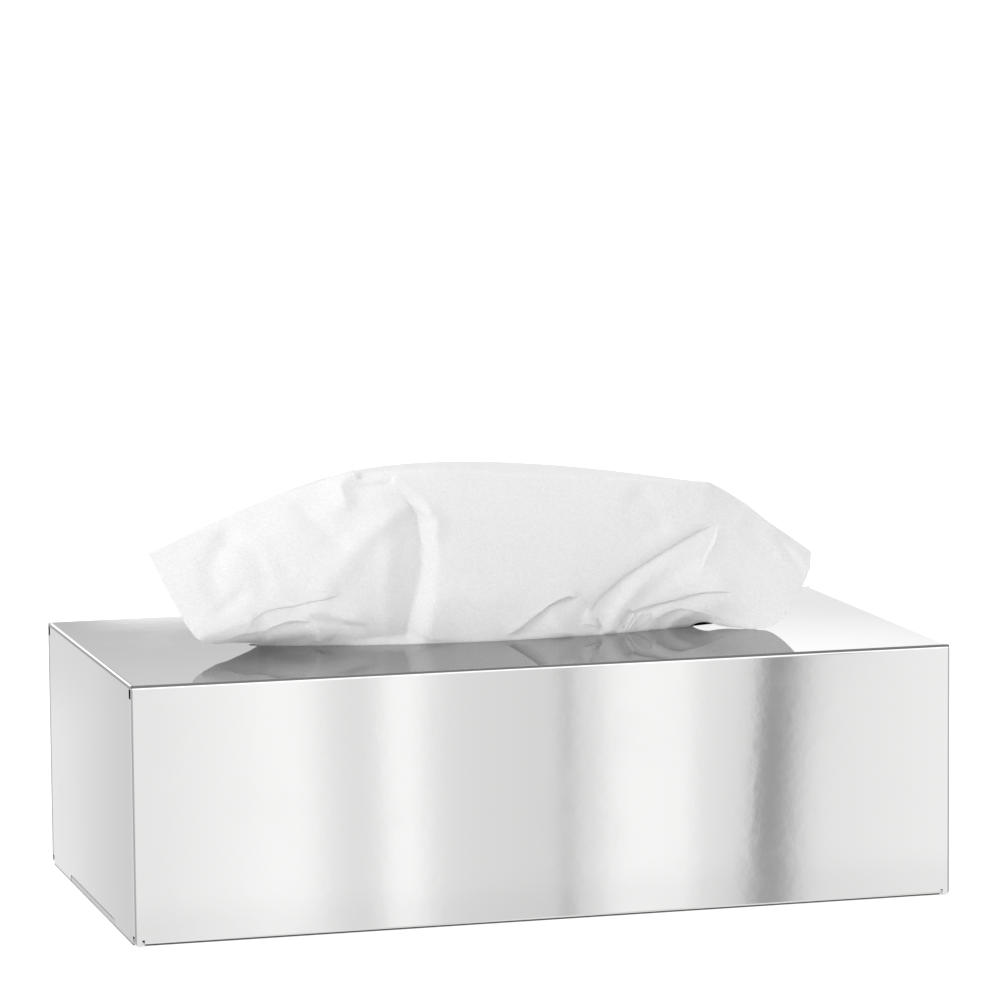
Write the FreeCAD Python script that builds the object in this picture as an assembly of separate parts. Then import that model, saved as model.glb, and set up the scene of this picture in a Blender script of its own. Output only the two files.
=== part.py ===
import FreeCAD, Part
import math
import os

from FreeCAD import Vector

# Napkin box: a folded steel cover over a tray of interfolded tissues, with one tissue
# standing in the slot. Millimetres, +Z up, +X along the box; the origin is the middle of
# the footprint, on the surface that the box stands on.

# Cover, folded from one blank
boxLength = 265.0
boxDepth = 140.0
boxHeight = 81.0
sheetMetal = 0.8
bendInside = 0.4            # inner radius of every fold
slotLength = 160.0          # eye-shaped slot in the top, tip to tip
slotWidth = 34.0
slotTipRadius = 2.0
seamGap = 0.1               # between an end wall's inner flange and the long wall
seamFlange = 10.0           # width of the flange behind the long wall
reliefHeight = 3.0          # corner relief at the head and the foot of each seam
reliefWidth = 2.6
footFlange = 7.0            # inward flange along the foot of each long wall
footFlangeInset = 3.1       # from the end of the wall to the end of its foot flange
footReliefWidth = 0.9
footReliefHeight = 2.0
footCornerRadius = 1.7
notchLength = 74.0          # shallow notch in the foot of each end wall
notchHeight = 2.3
notchRadius = 1.0

# Tray
traySideGap = 0.5           # tray to foot flange
trayEndGap = 0.3            # lip to end wall
trayLipHeight = 12.0
trayLipRadius = 6.0

# Tissues
tissueWidth = 225.0
leafWidth = 105.0           # a tissue folded once
foldPitch = 1.5             # from one fold to the next on the same side
foldsPerSide = 36
foldBulge = 0.45
foldNose = 0.4              # share of the pitch over which a fold's edge stands upright
restGap = 0.3               # tissue to whatever carries it
tissueThickness = 0.3
facetsAcross = 60           # flat facets that carry the tissue's form
facetsFlat = 2              # along the sheet: on the stack, round the turn, above the slot
facetsTurn = 6
facetsDrawn = 30
flatShare = 0.25            # of the sheet's rows that lie on the stack
gatherDepth = 0.7           # of the small pleats where the tissue is pinched in the slot
gatherCount = 8.5
gatherRise = 9.0            # over which the pleats die away, above the slot and below it
gatherDrop = 9.0
gatherMiddle = 0.35         # share of their depth that the pleats keep in mid sheet
gatherWander = 2.0          # how unevenly they are spaced
gatherDrift = 0.1           # and how slowly that changes across the sheet
foldEdge = 1.4              # over which one side of a fold turns into the other
foldFall = 1.2              # power by which a fold dies away from its course
foldTaper = 6.0             # how quickly it grows from its two ends
foldRise = 3.0              # over which the folds grow, from nothing in the slot

# What follows from those
halfLength = boxLength / 2
halfDepth = boxDepth / 2
bendOutside = bendInside + sheetMetal
flangeFace = halfDepth - sheetMetal - seamGap
stackHeight = foldPitch * foldsPerSide
stackFloor = sheetMetal + restGap
stackTop = stackFloor + stackHeight
sheetOnStack = stackTop + restGap + tissueThickness / 2
sheetOnTop = boxHeight + restGap + tissueThickness / 2
sheetUnderTop = boxHeight - sheetMetal - restGap - tissueThickness / 2
tipCentre = slotLength / 2 - slotTipRadius
slotSag = slotWidth / 2 - slotTipRadius
slotCentre = (tipCentre ** 2 - slotSag ** 2) / (2 * slotSag)
slotRadius = slotCentre + slotWidth / 2

# The drawn tissue's form above the cover: each row goes from the left margin to the right,
# and the rows go up from the slot to the free edge. x and z are counted from the middle of
# the slot and from the cover's top.
drawnRows = [
    [(-72, -1.5, -4.5), (-63, -5.9, -4.5), (-48, -10.3, -4.5), (-31, -13.9, -4.5),
     (-14, -15.8, -4.5), (3, -16.2, -4.5), (20, -15.1, -4.5), (36, -12.9, -4.5), (46, -10.8, -4.5),
     (51.5, -9.4, -4.5), (57, -7.9, -4.5), (61.5, -5.6, -4.5), (65.3, -3.7, -4.5)],
    [(-73, -1.6, -0.4), (-63.5, -5.8, -0.4), (-48, -10.2, -0.4), (-31, -13.8, -0.4),
     (-14, -15.7, -0.4), (3, -16.1, -0.4), (20, -15, -0.4), (36, -12.8, -0.4), (46, -10.7, -0.4),
     (51.5, -9.3, -0.4), (57, -7.8, -0.4), (61.8, -5.5, -0.4), (65.6, -3.6, -0.4)],
    [(-78, -2, 1.7), (-67, -8, 3), (-50, -12.5, 3), (-32, -15, 3), (-14.2, -16.6, 3), (3, -16.9, 3),
     (20.5, -15.9, 3), (37.5, -13.7, 3), (47.5, -11.8, 3), (53, -10.6, 3), (59, -9.5, 3),
     (65, -8, 3), (69, -6.4, 2.6)],
    [(-89, -7, 2.6), (-77, -13, 5.2), (-57, -15.5, 8), (-35.5, -16.2, 9), (-15, -17, 9),
     (3, -17.2, 9), (22, -16.2, 9), (41, -14.3, 8), (52, -13, 7), (57, -12.5, 6.4),
     (64, -12.5, 5.2), (71, -13, 3.6), (76.5, -14.5, 0.9)],
    [(-102.5, -21, 5.2), (-87, -17.5, 10), (-64, -14.5, 17), (-40, -15, 21), (-18, -15.8, 21.5),
     (3, -15.8, 20.8), (24.5, -15.3, 20), (46.5, -14.2, 17), (59.5, -14, 13.5), (64, -14, 12),
     (72, -15.5, 9), (80, -20.5, 6), (87, -25.5, -0.9)],
    [(-105, -15, 12.5), (-89.8, -12.5, 20.2), (-68.5, -9.8, 31), (-43.3, -11.8, 39),
     (-20.5, -13, 39.2), (3.2, -13.2, 37.4), (26.5, -13, 36), (50.3, -12.8, 33),
     (64.2, -12.8, 29.8), (67, -12.5, 28), (76, -13.5, 23.8), (86.5, -18.5, 15), (93.8, -28, 6.5)],
    [(-108.8, -8, 21.3), (-93.2, -6, 29.7), (-72, -4.5, 41.6), (-45.5, -7.8, 49),
     (-22.3, -10.8, 49.8), (3.8, -11.2, 47.2), (28.5, -11.2, 45.2), (53.5, -11.3, 42.8),
     (68.3, -11, 41.3), (70, -11, 40.5), (79, -11, 36.2), (90, -14, 26), (100.2, -21.5, 13)],
    [(-111.6, 0.5, 31.1), (-96.6, 1.5, 37.5), (-74.2, 1.5, 47.1), (-47, -3.5, 54.9),
     (-22.6, -9, 56), (4.4, -9.5, 53.3), (30, -9.5, 51.1), (55.8, -9.5, 49.1), (71.7, -9, 47.7),
     (71.7, -9, 47.7), (80.3, -8, 43.2), (93.3, -9.5, 33.5), (104.4, -16.3, 18.3)],
    [(-111.6, 0.5, 31.1), (-96.6, 1.5, 37.5), (-74.2, 1.5, 47.1), (-47, -3.5, 54.9),
     (-22.6, -9, 56), (4.4, -9.5, 53.3), (30, -9.5, 51.1), (55.8, -9.5, 49.1), (71.7, -9, 47.7),
     (71.7, -9, 47.7), (80.3, -8, 43.2), (93.3, -9.5, 33.5), (104.4, -16.3, 18.3)],
    [(-110.9, 4.5, 30.2), (-96, 7, 36.3), (-73.2, 10, 45.6), (-46, 10, 54), (-21.5, 6, 56.6),
     (5, 9, 55.8), (31, 9, 53), (57, 6, 49.4), (73, -3, 47.2), (73, -3, 47.2), (81.8, -4, 43.3),
     (95, -6, 34.4), (105.5, -13.5, 22.3)],
    [(-109.7, 10, 28.7), (-95.5, 14, 34.2), (-72, 22, 43.2), (-44.5, 28, 51.2), (-20, 30, 53.2),
     (6, 32, 52.2), (32, 31, 50), (57.5, 22, 47.4), (74, 3, 46.4), (74, 3, 46.4), (82.5, 0, 42.2),
     (95.7, -4, 33.9), (107, -11.5, 24.8)],
]

# The part inside the box: y, height over the stack and half width, from the trailing edge,
# flat on the stack, round one loose turn and up to the slot.
heldRows = [
    (40, 0, 112.5), (24, 0, 112.5), (5, 0, 112.5), (-14, 0, 112.5), (-32, 0, 112.5),
    (-43, 1.5, 112), (-42, 12, 105), (-31, 18, 86),
]

# Folds of the drawn tissue: their course in x and in height over the cover's top, then how far
# the sheet stands out (or in, when negative) and over what reach, on the left of the course
# and on its right.
folds = [
    ([(-32.6, -1.3), (-30.8, 10.6), (-28.3, 18.2), (-26.6, 25.4), (-26.7, 31.8), (-27.2, 39),
      (-28.8, 44.4), (-32, 47.9), (-35.4, 52), (-39.9, 51.8), (-45.1, 54)], (-3, 19), (-3, 7)),
    ([(-53.7, 23.6), (-48.1, 30), (-43.3, 34.8), (-37.9, 38.8), (-33.2, 42.1),
      (-28.8, 44.1)], (0.8, 8), (0.8, 6)),
    ([(-42.5, 41.4), (-43.9, 46.4), (-45.3, 50.6), (-44.7, 54.1)], (-1.4, 6), (-1.4, 4.5)),
    ([(-103, 5.4), (-100.7, 5.9), (-93, 7.6), (-86.4, 9.1), (-80.4, 11), (-76.4, 13), (-69.8, 13.9),
      (-61.6, 15.4), (-52.4, 16.6)], (1.2, 10), (-1.4, 8)),
    ([(-71.5, 14.3), (-66.6, 11.5), (-63.3, 8.7), (-60.9, 5.1), (-59.5, -0.8)], (1.2, 5),
      (1.2, 4.5)),
    ([(-64.6, 12.1), (-57.5, 10.5), (-51.9, 8.9), (-47, 7.7), (-41.7, 5.8)], (-1.2, 6), (0.6, 6)),
    ([(-24.7, 1.1), (-22, 10.3), (-19.6, 14), (-16.9, 15.5), (-9.3, 14.5), (0.6, 13.1),
      (10.7, 12.6)], (0.7, 8), (-1.6, 10)),
    ([(-1.1, -0.5), (5.5, 3.8), (10.6, 7.8), (15, 10.8), (19.1, 12.8), (21.9, 13.3),
      (26, 11.8)], (1.1, 9), (-1.4, 7)),
    ([(23.4, -1.3), (23.2, 6.1), (21.8, 11.4)], (1.2, 5), (1.2, 5)),
    ([(29.4, 7.3), (32.8, 11.4), (38, 15.7), (46.7, 21.1), (53.7, 24.6), (60.7, 28.8), (67.7, 32),
      (73.6, 33.4)], (-1.6, 8), (1.4, 14)),
    ([(66.1, 16.9), (68.5, 20), (71, 24.1), (73.3, 28.9), (73.6, 33.4)], (1, 5), (-0.5, 6)),
    ([(45, 7.4), (50.2, 8.4), (57, 9.7), (63.7, 11.1), (70.2, 11.9), (76.6, 11.6)], (1, 8),
      (-0.8, 5)),
    ([(42.5, -1.3), (47.2, 3.1), (52.2, 5.5), (57.9, 6.6), (63.8, 6.7), (69, 5.6), (74.8, 3.7),
      (81.4, 1.3)], (0.8, 5), (-2, 7)),
]


def box(x0, x1, y0, y1, z0, z1):
    return Part.makeBox(x1 - x0, y1 - y0, z1 - z0, Vector(x0, y0, z0))


def roundedPath(corners, radius):
    """Edges of a line through the corners, with an arc of the given radius at each turn."""
    edges = []
    start = corners[0]
    for before, corner, after in zip(corners, corners[1:], corners[2:]):
        back = (before - corner).normalize()
        ahead = (after - corner).normalize()
        tangent = radius / math.tan(back.getAngle(ahead) / 2)
        arcStart = corner + back * tangent
        arcEnd = corner + ahead * tangent
        middle = (back + ahead).normalize()
        centre = corner + middle * math.hypot(radius, tangent)
        edges.append(Part.makeLine(start, arcStart))
        edges.append(Part.Arc(arcStart, centre - middle * radius, arcEnd).toShape())
        start = arcEnd
    edges.append(Part.makeLine(start, corners[-1]))
    return edges


def bentSheet(corners, sweep):
    """Sheet metal along a path of square turns, all the same way, its metal on the inner side."""
    turn = (corners[1] - corners[0]).cross(corners[2] - corners[1])
    inner = []
    for i, corner in enumerate(corners):
        offset = Vector(0, 0, 0)
        for a, b in ((i - 1, i), (i, i + 1)):
            if a >= 0 and b < len(corners):
                offset += turn.cross(corners[b] - corners[a]).normalize() * sheetMetal
        inner.append(corner + offset)
    outerEdges = roundedPath(corners, bendOutside)
    innerEdges = roundedPath(inner, bendInside)
    ends = [Part.makeLine(corners[0], inner[0]), Part.makeLine(corners[-1], inner[-1])]
    outline = Part.Wire(Part.__sortEdges__(outerEdges + innerEdges + ends))
    return Part.Face(outline).extrude(sweep)


def bothEnds(shape):
    """A shape with its mirror image at the other end of the box."""
    return [shape, shape.mirror(Vector(0, 0, 0), Vector(1, 0, 0))]


def bothSides(shape):
    """A shape with its mirror image on the other long side."""
    return [shape, shape.mirror(Vector(0, 0, 0), Vector(0, 1, 0))]


def longWalls():
    """The top with both long walls, down to where the foot flanges begin."""
    path = [
        Vector(-halfLength, -halfDepth, footReliefHeight),
        Vector(-halfLength, -halfDepth, boxHeight),
        Vector(-halfLength, halfDepth, boxHeight),
        Vector(-halfLength, halfDepth, footReliefHeight),
    ]
    walls = bentSheet(path, Vector(boxLength, 0, 0))
    endBendZone = box(
        -halfLength, -halfLength + bendOutside,
        -halfDepth + bendOutside, halfDepth - bendOutside,
        boxHeight - bendOutside, boxHeight,
    )
    return walls.cut(bothEnds(endBendZone))


def footFlanges():
    """The inward flange along the foot of each long wall, and the flat tabs beyond its ends."""
    halfFlange = halfLength - footFlangeInset
    path = [
        Vector(-halfFlange, -halfDepth + footFlange, 0),
        Vector(-halfFlange, -halfDepth, 0),
        Vector(-halfFlange, -halfDepth, footReliefHeight),
    ]
    flange = bentSheet(path, Vector(2 * halfFlange, 0, 0))
    tab = box(
        -halfLength, -halfFlange - footReliefWidth,
        -halfDepth, -halfDepth + sheetMetal,
        0, footReliefHeight,
    )
    corner = [
        edge for edge in tab.Edges
        if edge.BoundBox.XMax < -halfLength + 0.01 and edge.BoundBox.ZMax < 0.01
    ]
    tab = tab.makeFillet(footCornerRadius, corner)
    return bothSides(flange) + [piece for end in bothEnds(tab) for piece in bothSides(end)]


def endWalls():
    """Both end walls with the folds that join them to the top."""
    path = [
        Vector(-halfLength, -halfDepth + bendOutside, 0),
        Vector(-halfLength, -halfDepth + bendOutside, boxHeight),
        Vector(halfLength, -halfDepth + bendOutside, boxHeight),
        Vector(halfLength, -halfDepth + bendOutside, 0),
    ]
    walls = bentSheet(path, Vector(0, boxDepth - 2 * bendOutside, 0))
    seamFold = box(
        -halfLength - 1, -halfLength + bendOutside,
        -halfDepth, -flangeFace + bendOutside,
        -1, boxHeight - bendOutside,
    )
    cuts = [piece for end in bothEnds(seamFold) for piece in bothSides(end)]
    return walls.cut(cuts)


def seamFlanges():
    """The upright folds that carry each end wall round behind the long walls."""
    foot = reliefHeight
    path = [
        Vector(-halfLength + seamFlange, -flangeFace, foot),
        Vector(-halfLength, -flangeFace, foot),
        Vector(-halfLength, flangeFace, foot),
        Vector(-halfLength + seamFlange, flangeFace, foot),
    ]
    height = boxHeight - bendOutside - 2 * reliefHeight
    return bothEnds(bentSheet(path, Vector(0, 0, height)))


def cornerReliefs():
    """The small holes that let the folds meet, at the head and the foot of each seam."""
    cuts = []
    for foot in (-reliefHeight, boxHeight - bendOutside - reliefHeight):
        height = 2 * reliefHeight if foot < 0 else reliefHeight
        relief = box(
            -halfLength - 1, -halfLength + 2 * bendOutside,
            -halfDepth + sheetMetal, -halfDepth + sheetMetal + reliefWidth,
            foot, foot + height,
        )
        cuts += [piece for end in bothEnds(relief) for piece in bothSides(end)]
    return cuts


def topSlot():
    """The eye-shaped slot that the tissue comes up through: two long arcs and two small tips."""
    foot = boxHeight - 2 * sheetMetal
    lean = Vector(tipCentre, slotCentre, 0).normalize() * slotTipRadius
    joinX, joinY = tipCentre + lean.x, lean.y
    back = [Vector(-joinX, joinY, foot), Vector(0, slotWidth / 2, foot), Vector(joinX, joinY, foot)]
    front = [Vector(point.x, -point.y, foot) for point in back]
    arcs = [Part.Arc(*back), Part.Arc(*front)]
    for side in (0, -1):
        tip = Vector(math.copysign(slotLength / 2, back[side].x), 0, foot)
        arcs.append(Part.Arc(back[side], tip, front[side]))
    outline = Part.Wire(Part.__sortEdges__([arc.toShape() for arc in arcs]))
    return Part.Face(outline).extrude(Vector(0, 0, 3 * sheetMetal))


def slotHalfWidth(x):
    return math.sqrt(slotRadius ** 2 - min(abs(x), tipCentre) ** 2) - slotCentre


def endNotches():
    """The shallow notches in the feet of the end walls."""
    notch = box(
        -halfLength - 1, -halfLength + 2 * bendOutside,
        -notchLength / 2, notchLength / 2,
        -notchHeight, notchHeight,
    )
    upperCorners = [
        edge for edge in notch.Edges
        if edge.BoundBox.ZMin > notchHeight - 0.01 and edge.BoundBox.YLength < 0.01
    ]
    return bothEnds(notch.makeFillet(notchRadius, upperCorners))


def makeCover():
    blank = longWalls().fuse(footFlanges() + [endWalls()] + seamFlanges())
    cover = blank.cut(cornerReliefs() + [topSlot()] + endNotches())
    return cover.removeSplitter()


def makeTray():
    """A plate between the foot flanges, with a lip turned up at each end."""
    endFace = halfLength - sheetMetal - trayEndGap
    sideFace = halfDepth - footFlange - traySideGap
    path = [
        Vector(-endFace, -sideFace, trayLipHeight),
        Vector(-endFace, -sideFace, 0),
        Vector(endFace, -sideFace, 0),
        Vector(endFace, -sideFace, trayLipHeight),
    ]
    tray = bentSheet(path, Vector(0, 2 * sideFace, 0))
    lipCorners = [
        edge for edge in tray.Edges
        if edge.BoundBox.ZMin > trayLipHeight - 0.01 and edge.BoundBox.YLength < 0.01
    ]
    return tray.makeFillet(trayLipRadius, lipCorners)


def makeStack():
    """Interfolded tissues: their folds show on both long sides, half a pitch apart."""
    end = -tissueWidth / 2
    tip = leafWidth / 2
    root = tip - foldBulge

    def foldedSide(side, foot, head):
        points = []
        while foot + foldPitch <= head + 1e-6:
            for reach, rise in ((root, 0), (tip, (1 - foldNose) / 2), (tip, (1 + foldNose) / 2)):
                points.append(Vector(end, side * reach, foot + rise * foldPitch))
            foot += foldPitch
        points.append(Vector(end, side * root, foot))
        return points

    front = foldedSide(-1, stackFloor + foldPitch / 2, stackTop - foldPitch / 2)
    back = foldedSide(1, stackFloor, stackTop)
    sheetEnds = [Vector(end, -root, stackFloor), Vector(end, -root, stackTop)]
    outline = [sheetEnds[0]] + front + [sheetEnds[1]] + back[::-1]
    return Part.Face(Part.makePolygon(outline + outline[:1])).extrude(Vector(tissueWidth, 0, 0))


def splineBasis(count, t):
    """Weights of a clamped cubic spline's poles at t, from 0 to 1."""
    inner = [i / (count - 3) for i in range(1, count - 3)]
    knots = [0.0] * 4 + inner + [1.0] * 4
    t = min(t, 1 - 1e-9)
    weights = [1.0 if a <= t < b else 0.0 for a, b in zip(knots, knots[1:])]
    for degree in (1, 2, 3):
        raised = []
        for i in range(len(weights) - 1):
            left = knots[i + degree] - knots[i]
            right = knots[i + degree + 1] - knots[i + 1]
            value = (t - knots[i]) / left * weights[i] if left else 0.0
            value += (knots[i + degree + 1] - t) / right * weights[i + 1] if right else 0.0
            raised.append(value)
        weights = raised
    return weights


def nearestOnCourse(x, height, course):
    """Distance to a course, positive on its left, and the share of the way along it."""
    nearest = None
    for i, ((x0, z0), (x1, z1)) in enumerate(zip(course, course[1:])):
        along = ((x - x0) * (x1 - x0) + (height - z0) * (z1 - z0)) / math.dist((x0, z0), (x1, z1)) ** 2
        held = min(max(along, 0.0), 1.0)
        gap = math.dist((x, height), (x0 + held * (x1 - x0), z0 + held * (z1 - z0)))
        if nearest is None or gap < abs(nearest[0]):
            side = (x1 - x0) * (height - z0) - (z1 - z0) * (x - x0)
            nearest = (math.copysign(gap, side), (i + held) / (len(course) - 1))
    return nearest


def smoothRise(value):
    value = min(max(value, 0.0), 1.0)
    return value * value * (3 - 2 * value)


def foldOffset(x, height, fold):
    """How far one fold moves the sheet at a place, seen from the front."""
    course, (leftDepth, leftReach), (rightDepth, rightReach) = fold
    gap, position = nearestOnCourse(x, height, course)
    left = leftDepth * max(0.0, 1 - abs(gap) / leftReach) ** foldFall
    right = rightDepth * max(0.0, 1 - abs(gap) / rightReach) ** foldFall
    share = smoothRise(0.5 + gap / (2 * foldEdge))
    taper = smoothRise(foldTaper * position) * smoothRise(foldTaper * (1 - position))
    return taper * (share * left + (1 - share) * right)


def gatherOffset(across, height):
    """Pleats of the pinched sheet, deepest in the slot and towards its ends."""
    pinch = math.exp(-(height / (gatherRise if height > 0 else gatherDrop)) ** 2)
    turns = 2 * math.pi * gatherCount * across
    wave = math.sin(turns + gatherWander * math.sin(gatherDrift * turns))
    depth = gatherMiddle + (1 - gatherMiddle) * abs(2 * across - 1)
    return gatherDepth * depth * pinch * wave


def tissuePoles():
    """Poles of the whole sheet's large form, from the trailing edge to the free edge."""
    first, last = drawnRows[0][0][0], drawnRows[0][-1][0]
    shares = [2 * (x - first) / (last - first) - 1 for x, y, z in drawnRows[0]]
    held = [
        [Vector(share * half, y, sheetOnStack + rise) for share in shares]
        for y, rise, half in heldRows
    ]
    drawn = [[Vector(x, y, boxHeight + z) for x, y, z in row] for row in drawnRows]
    return held + drawn


def spaced(start, end, count):
    return [start + (end - start) * i / count for i in range(round(count))]


def tissuePoints():
    """Grid of points on the sheet, with its pleats and folds."""
    poles = tissuePoles()
    slotShare = (len(heldRows) + 0.5) / len(poles)
    alongShares = spaced(0, flatShare, facetsFlat) + spaced(flatShare, slotShare, facetsTurn)
    alongShares += spaced(slotShare, 1, facetsDrawn) + [1]
    acrossShares = spaced(0, 1, facetsAcross) + [1]
    columnWeights = [splineBasis(len(poles[0]), share) for share in acrossShares]
    grid = []
    for along in alongShares:
        rows = splineBasis(len(poles), along)
        line = [
            sum((pole[k] * w for pole, w in zip(poles, rows) if w), Vector())
            for k in range(len(poles[0]))
        ]
        grid.append([
            sum((pole * w for pole, w in zip(line, columns) if w), Vector())
            for columns in columnWeights
        ])
    directions = facing(grid)
    for line, outward in zip(grid, directions):
        for i, (point, direction) in enumerate(zip(line, outward)):
            height = point.z - boxHeight
            offset = gatherOffset(acrossShares[i], height)
            if height > 0:
                depth = sum(foldOffset(point.x, height, fold) for fold in folds)
                offset += depth * min(1.0, height / foldRise)
            line[i] = clearOfCover(point + direction * offset)
    return grid


def clearOfCover(point):
    """Keeps the sheet off the slot's edge where it passes it, and off the top beyond it."""
    if point.z > sheetOnTop or point.z < sheetUnderTop:
        return point
    room = slotHalfWidth(point.x) - restGap - tissueThickness
    if abs(point.y) > room:
        middle = (sheetOnTop + sheetUnderTop) / 2
        point.z = sheetOnTop if point.z > middle else sheetUnderTop
    return point


def facing(grid):
    """Unit normals of a grid of points, towards the front of the box where it stands up."""
    normals = []
    for j in range(len(grid)):
        below = grid[max(j - 1, 0)]
        above = grid[min(j + 1, len(grid) - 1)]
        row = grid[j]
        normals.append([
            (row[min(i + 1, len(row) - 1)] - row[max(i - 1, 0)]).cross(above[i] - below[i]).normalize()
            for i in range(len(row))
        ])
    return normals


def makePulledTissue():
    """The drawn sheet as a thin closed solid: two skins of flat facets and the four cut edges."""
    grid = tissuePoints()
    normals = facing(grid)
    rows, columns = len(grid), len(grid[0])
    points = [
        point + normal * side
        for side in (tissueThickness / 2, -tissueThickness / 2)
        for line, outward in zip(grid, normals)
        for point, normal in zip(line, outward)
    ]
    facets = []

    def patch(a, b, c, d):
        facets.extend([(a, b, c), (a, c, d)])

    def at(j, i, skin):
        return (skin * rows + j) * columns + i

    for j in range(rows - 1):
        for i in range(columns - 1):
            patch(at(j, i, 0), at(j, i + 1, 0), at(j + 1, i + 1, 0), at(j + 1, i, 0))
            patch(at(j, i, 1), at(j + 1, i, 1), at(j + 1, i + 1, 1), at(j, i + 1, 1))
    for i in range(columns - 1):
        patch(at(0, i, 0), at(0, i, 1), at(0, i + 1, 1), at(0, i + 1, 0))
        patch(at(rows - 1, i, 0), at(rows - 1, i + 1, 0), at(rows - 1, i + 1, 1), at(rows - 1, i, 1))
    for j in range(rows - 1):
        patch(at(j, 0, 0), at(j + 1, 0, 0), at(j + 1, 0, 1), at(j, 0, 1))
        last = columns - 1
        patch(at(j, last, 0), at(j, last, 1), at(j + 1, last, 1), at(j + 1, last, 0))
    shell = Part.Shape()
    shell.makeShapeFromMesh((points, facets), 0.001)
    return Part.makeSolid(shell)


pieces = {
    "cover": makeCover(),
    "base_tray": makeTray(),
    "tissue_stack": makeStack(),
    "pulled_tissue": makePulledTissue(),
}

os.makedirs("parts", exist_ok=True)
for node, shape in pieces.items():
    bounds = shape.BoundBox
    print(
        node, shape.ShapeType, "valid", shape.isValid(), "solids", len(shape.Solids),
        "faces", len(shape.Faces), "volume %.0f" % shape.Volume,
        "x %.1f %.1f y %.1f %.1f z %.1f %.1f" % (
            bounds.XMin, bounds.XMax, bounds.YMin, bounds.YMax, bounds.ZMin, bounds.ZMax),
    )
    shape.Solids[0].exportStep("parts/%s.step" % node)
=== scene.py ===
import math
import random

import bmesh
import bpy
from mathutils import Matrix, Vector


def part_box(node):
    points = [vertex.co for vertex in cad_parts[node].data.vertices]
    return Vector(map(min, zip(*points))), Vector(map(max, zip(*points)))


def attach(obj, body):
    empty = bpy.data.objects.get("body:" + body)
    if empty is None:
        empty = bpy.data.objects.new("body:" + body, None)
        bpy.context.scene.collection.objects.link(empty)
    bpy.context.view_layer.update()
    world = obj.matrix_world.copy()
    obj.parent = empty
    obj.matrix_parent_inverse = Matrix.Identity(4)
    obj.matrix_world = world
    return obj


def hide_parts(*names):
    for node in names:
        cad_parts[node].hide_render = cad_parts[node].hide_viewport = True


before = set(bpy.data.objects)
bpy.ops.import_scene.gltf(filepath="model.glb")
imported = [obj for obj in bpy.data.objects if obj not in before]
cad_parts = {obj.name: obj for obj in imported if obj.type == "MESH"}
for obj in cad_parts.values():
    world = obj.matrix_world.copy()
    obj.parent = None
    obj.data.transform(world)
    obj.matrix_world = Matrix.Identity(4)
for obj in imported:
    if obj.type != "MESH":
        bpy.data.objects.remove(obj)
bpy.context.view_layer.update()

mm = 0.001
coverLow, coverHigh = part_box("cover")
stackLow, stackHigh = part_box("tissue_stack")
topOfCover = coverHigh.z
topOfStack = stackHigh.z


class Sock:
    # a shader value that takes part in Python expressions
    def __init__(self, tree, socket):
        self.tree = tree
        self.socket = socket

    def math(self, operation, *others, clamp=False):
        settings = {"operation": operation, "use_clamp": clamp}
        return self.tree.value("ShaderNodeMath", settings, [self, *others])

    def __add__(self, other):
        return self.math("ADD", other)

    def __radd__(self, other):
        return self.math("ADD", other)

    def __sub__(self, other):
        return self.math("SUBTRACT", other)

    def __rsub__(self, other):
        return self.tree.value("ShaderNodeMath", {"operation": "SUBTRACT"}, [other, self])

    def __mul__(self, other):
        return self.math("MULTIPLY", other)

    def __rmul__(self, other):
        return self.math("MULTIPLY", other)

    def __truediv__(self, other):
        return self.math("DIVIDE", other)

    def __pow__(self, other):
        return self.math("POWER", other)

    def __neg__(self):
        return self.math("MULTIPLY", -1.0)

    def __abs__(self):
        return self.math("ABSOLUTE")

    def clamped(self):
        return self.math("ADD", 0.0, clamp=True)

    def most(self, other):
        return self.math("MAXIMUM", other)

    def sine(self):
        return self.math("SINE")

    def degrees(self):
        return self * (180 / math.pi)

    def step(self, start, end):
        # smooth rise from 0 at start to 1 at end
        return self.tree.value(
            "ShaderNodeMapRange", {"interpolation_type": "SMOOTHSTEP"},
            {"Value": self, "From Min": start, "From Max": end, "To Min": 0.0, "To Max": 1.0},
            "Result")

    def under(self, limit):
        # 1 up to half the limit, falling smoothly to 0 at the limit
        return 1 - self.step(limit / 2, limit)

    def between(self, start, full, fading, end):
        # 1 from full to fading, falling smoothly to 0 at start and at end
        return self.step(start, full) * (1 - self.step(fading, end))

    def hump(self, middle, halfWidth):
        # 1 at the middle, falling smoothly to 0 at the half width on either side
        return 1 - abs(self - middle).step(0.0, halfWidth)


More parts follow.
